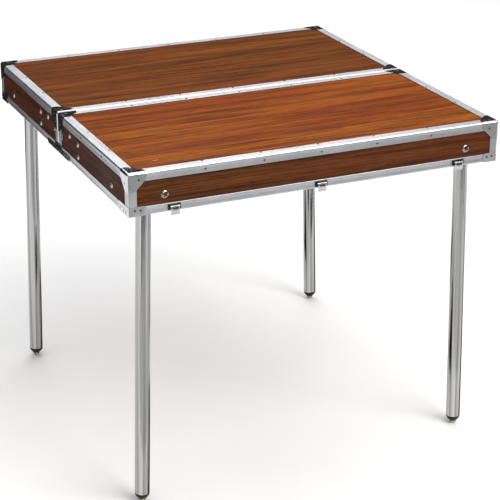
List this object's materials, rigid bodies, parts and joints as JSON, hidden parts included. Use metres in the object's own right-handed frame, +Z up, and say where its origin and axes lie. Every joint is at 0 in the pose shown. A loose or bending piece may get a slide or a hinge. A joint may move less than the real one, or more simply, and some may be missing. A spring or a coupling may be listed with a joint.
{
  "type": "folding table",
  "caption": "Square suitcase folding table: wood-grain trays edged with aluminium, hinged along the seam, on fold-in round legs.",
  "frame": {"origin": "on the floor under the middle of the opened table", "axes": "+X along the seam between the trays, +Y towards the rear tray, +Z up"},
  "size_m": [0.8026, 0.8401, 0.7113],
  "materials": {
    "laminate_top": "satin wood-grain laminate",
    "laminate_wall": "satin wood-grain laminate",
    "laminate_end": "satin dark wood-grain laminate",
    "trim_aluminium": "satin anodised",
    "chrome": "polished",
    "leg_chrome": "polished tube",
    "zinc_steel": "zinc plated",
    "black_plastic": "moulded"
  },
  "bodies": {
    "front_tray": {"front_top_panel": "laminate_top", "front_outer_wall": "laminate_wall", "front_seam_wall": "laminate_wall", "front_top_frame": "trim_aluminium", "front_rim_trim": "trim_aluminium", "front_hinge_leaf": "zinc_steel", "front_end_wall_left": "laminate_end", "front_outer_top_cap_left": "chrome", "front_outer_foot_corner_left": "chrome", "front_seam_top_cap_left": "chrome", "front_seam_foot_corner_left": "chrome", "front_left_leg_bracket": "zinc_steel", "front_left_pivot_bolt": "zinc_steel", "front_end_wall_right": "laminate_end", "front_outer_top_cap_right": "chrome", "front_outer_foot_corner_right": "chrome", "front_seam_top_cap_right": "chrome", "front_seam_foot_corner_right": "chrome", "front_right_leg_bracket": "zinc_steel", "front_right_pivot_bolt": "zinc_steel", "hinge_pin": "zinc_steel", "catch_base_left": "chrome", "catch_base_middle": "chrome", "catch_base_right": "chrome"},
    "rear_tray": {"rear_top_panel": "laminate_top", "rear_outer_wall": "laminate_wall", "rear_seam_wall": "laminate_wall", "rear_top_frame": "trim_aluminium", "rear_rim_trim": "trim_aluminium", "rear_hinge_leaf": "zinc_steel", "rear_end_wall_left": "laminate_end", "rear_outer_top_cap_left": "chrome", "rear_outer_foot_corner_left": "chrome", "rear_seam_top_cap_left": "chrome", "rear_seam_foot_corner_left": "chrome", "rear_left_leg_bracket": "zinc_steel", "rear_left_pivot_bolt": "zinc_steel", "rear_end_wall_right": "laminate_end", "rear_outer_top_cap_right": "chrome", "rear_outer_foot_corner_right": "chrome", "rear_seam_top_cap_right": "chrome", "rear_seam_foot_corner_right": "chrome", "rear_right_leg_bracket": "zinc_steel", "rear_right_pivot_bolt": "zinc_steel"},
    "front_left_leg": {"front_left_leg_tube": "leg_chrome", "front_left_leg_plug": "black_plastic"},
    "front_left_foot": {"front_left_levelling_foot": "zinc_steel"},
    "front_right_leg": {"front_right_leg_tube": "leg_chrome", "front_right_leg_plug": "black_plastic"},
    "front_right_foot": {"front_right_levelling_foot": "zinc_steel"},
    "rear_left_leg": {"rear_left_leg_tube": "leg_chrome", "rear_left_leg_plug": "black_plastic"},
    "rear_left_foot": {"rear_left_levelling_foot": "zinc_steel"},
    "rear_right_leg": {"rear_right_leg_tube": "leg_chrome", "rear_right_leg_plug": "black_plastic"},
    "rear_right_foot": {"rear_right_levelling_foot": "zinc_steel"},
    "hasp_left": {"catch_hasp_left": "chrome"},
    "hasp_middle": {"catch_hasp_middle": "chrome"},
    "hasp_right": {"catch_hasp_right": "chrome"},
    "handle": {"carry_handle": "black_plastic"}
  },
  "joints": [
    {"name": "tray_fold", "type": "hinge", "parent": "front_tray", "child": "rear_tray", "pos_m": [0, 0, 0.6236], "axis": [-1, 0, 0], "range_deg": [0, 180]},
    {"name": "front_left_leg_fold", "type": "hinge", "parent": "front_tray", "child": "front_left_leg", "pos_m": [-0.36, -0.3835, 0.653], "axis": [0, -1, 0], "range_deg": [0, 91.5]},
    {"name": "front_left_foot_adjust", "type": "slide", "parent": "front_left_leg", "child": "front_left_foot", "axis": [-0.0262, 0, -0.9997], "range_m": [0, 0.008]},
    {"name": "front_right_leg_fold", "type": "hinge", "parent": "front_tray", "child": "front_right_leg", "pos_m": [0.35, -0.35, 0.6825], "axis": [0, 1, 0], "range_deg": [0, 91.5]},
    {"name": "front_right_foot_adjust", "type": "slide", "parent": "front_right_leg", "child": "front_right_foot", "axis": [0.0262, 0, -0.9997], "range_m": [0, 0.008]},
    {"name": "rear_right_leg_fold", "type": "hinge", "parent": "rear_tray", "child": "rear_right_leg", "pos_m": [0.36, 0.3835, 0.653], "axis": [0, 1, 0], "range_deg": [0, 91.5]},
    {"name": "rear_right_foot_adjust", "type": "slide", "parent": "rear_right_leg", "child": "rear_right_foot", "axis": [0.0262, 0, -0.9997], "range_m": [0, 0.008]},
    {"name": "rear_left_leg_fold", "type": "hinge", "parent": "rear_tray", "child": "rear_left_leg", "pos_m": [-0.35, 0.35, 0.6825], "axis": [0, -1, 0], "range_deg": [0, 91.5]},
    {"name": "rear_left_foot_adjust", "type": "slide", "parent": "rear_left_leg", "child": "rear_left_foot", "axis": [-0.0262, 0, -0.9997], "range_m": [0, 0.008]},
    {"name": "hasp_left_swing", "type": "hinge", "parent": "front_tray", "child": "hasp_left", "pos_m": [-0.308, -0.4146, 0.6348], "axis": [-1, 0, 0], "range_deg": [0, 100]},
    {"name": "hasp_middle_swing", "type": "hinge", "parent": "front_tray", "child": "hasp_middle", "pos_m": [0, -0.4146, 0.6348], "axis": [-1, 0, 0], "range_deg": [0, 100]},
    {"name": "hasp_right_swing", "type": "hinge", "parent": "front_tray", "child": "hasp_right", "pos_m": [0.308, -0.4146, 0.6348], "axis": [-1, 0, 0], "range_deg": [0, 100]},
    {"name": "handle_swing", "type": "hinge", "parent": "rear_tray", "child": "handle", "pos_m": [0, 0.4185, 0.6346], "axis": [1, 0, 0], "range_deg": [0, 170]}
  ],
  "couplings": [
    {"joint": "front_left_leg_fold", "follows": "tray_fold", "ratio": 0.5083},
    {"joint": "front_right_leg_fold", "follows": "tray_fold", "ratio": 0.5083},
    {"joint": "rear_right_leg_fold", "follows": "tray_fold", "ratio": 0.5083},
    {"joint": "rear_left_leg_fold", "follows": "tray_fold", "ratio": 0.5083}
  ]
}
